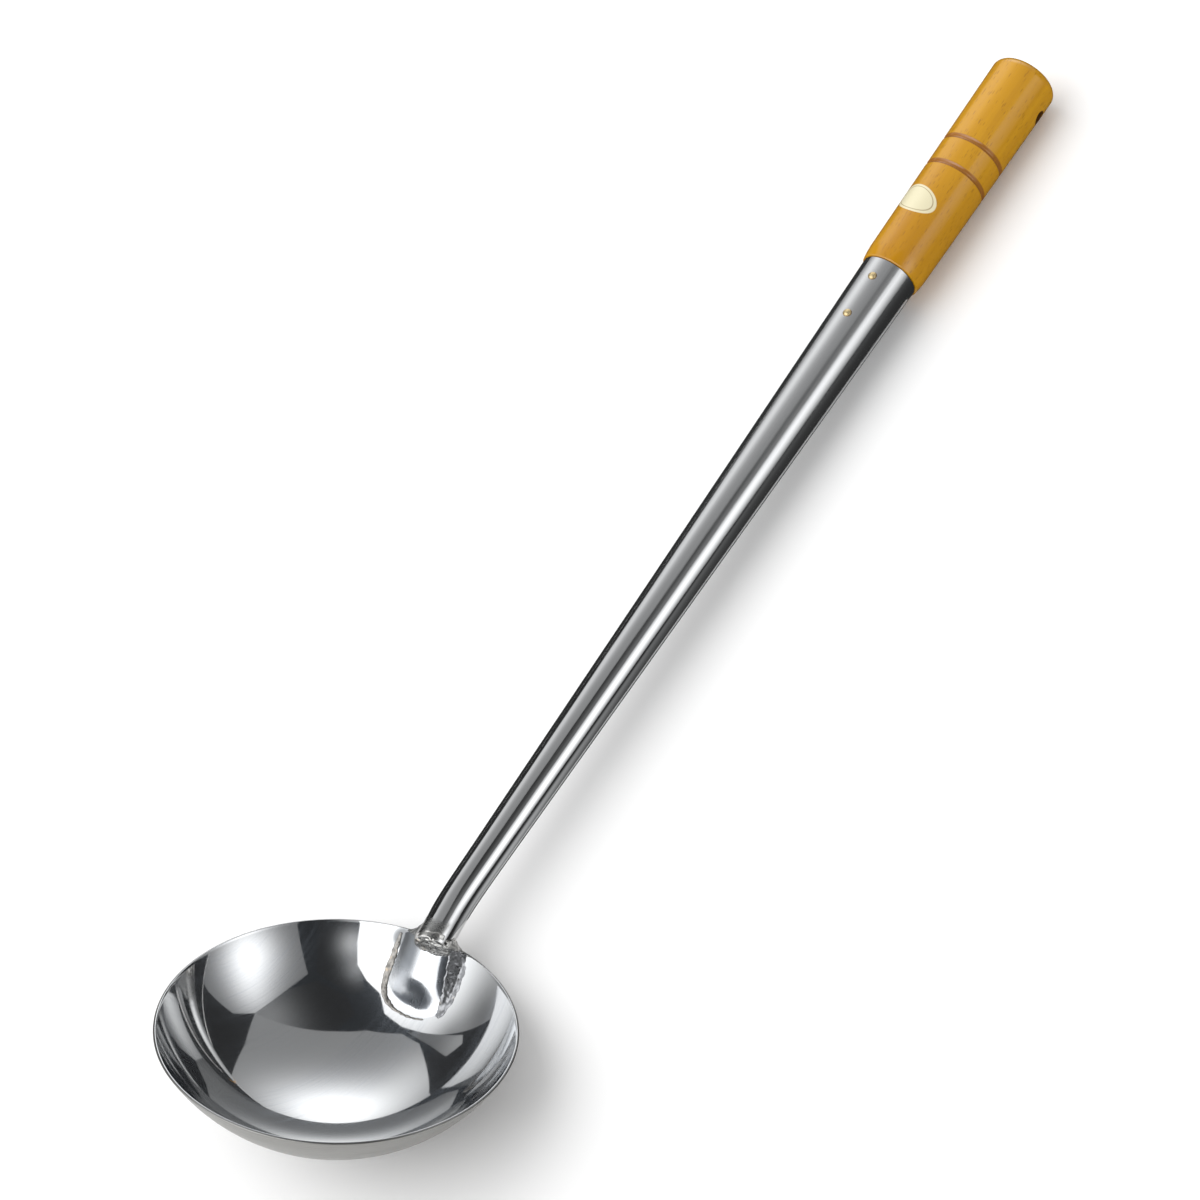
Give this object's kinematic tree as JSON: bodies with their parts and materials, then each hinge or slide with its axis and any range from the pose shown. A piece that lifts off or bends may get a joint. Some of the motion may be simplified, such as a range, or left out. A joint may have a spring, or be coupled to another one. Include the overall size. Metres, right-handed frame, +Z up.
{
  "type": "wok ladle",
  "caption": "Small Chinese wok ladle with a polished stainless bowl, a tapered tube handle welded to it and a turned wooden grip.",
  "frame": {"origin": "middle of the footprint of the lying ladle, on the table that the bowl's underside and the grip's end rest on", "axes": "+X along the handle from the bowl to the grip, +Z up from the table, +Y to the left of someone who looks along +X"},
  "size_m": [0.473, 0.115, 0.061],
  "materials": {
    "polished_steel": "mirror polished stainless steel with fine arc scratches",
    "tube_steel": "polished stainless steel tube with faint lengthwise marks",
    "weld_steel": "bare rippled weld bead, dull, partly ground",
    "lacquered_wood": "amber clear lacquer over beech, satin gloss",
    "nail_brass": "domed brass nail heads, lightly dulled"
  },
  "bodies": {
    "root": {"bowl": "polished_steel", "lug": "polished_steel", "shaft": "tube_steel", "neck_weld": "weld_steel", "rim_weld": "weld_steel", "lug_weld_left": "weld_steel", "lug_weld_right": "weld_steel", "grip": "lacquered_wood", "nail_upper": "nail_brass", "nail_lower": "nail_brass"}
  },
  "joints": []
}
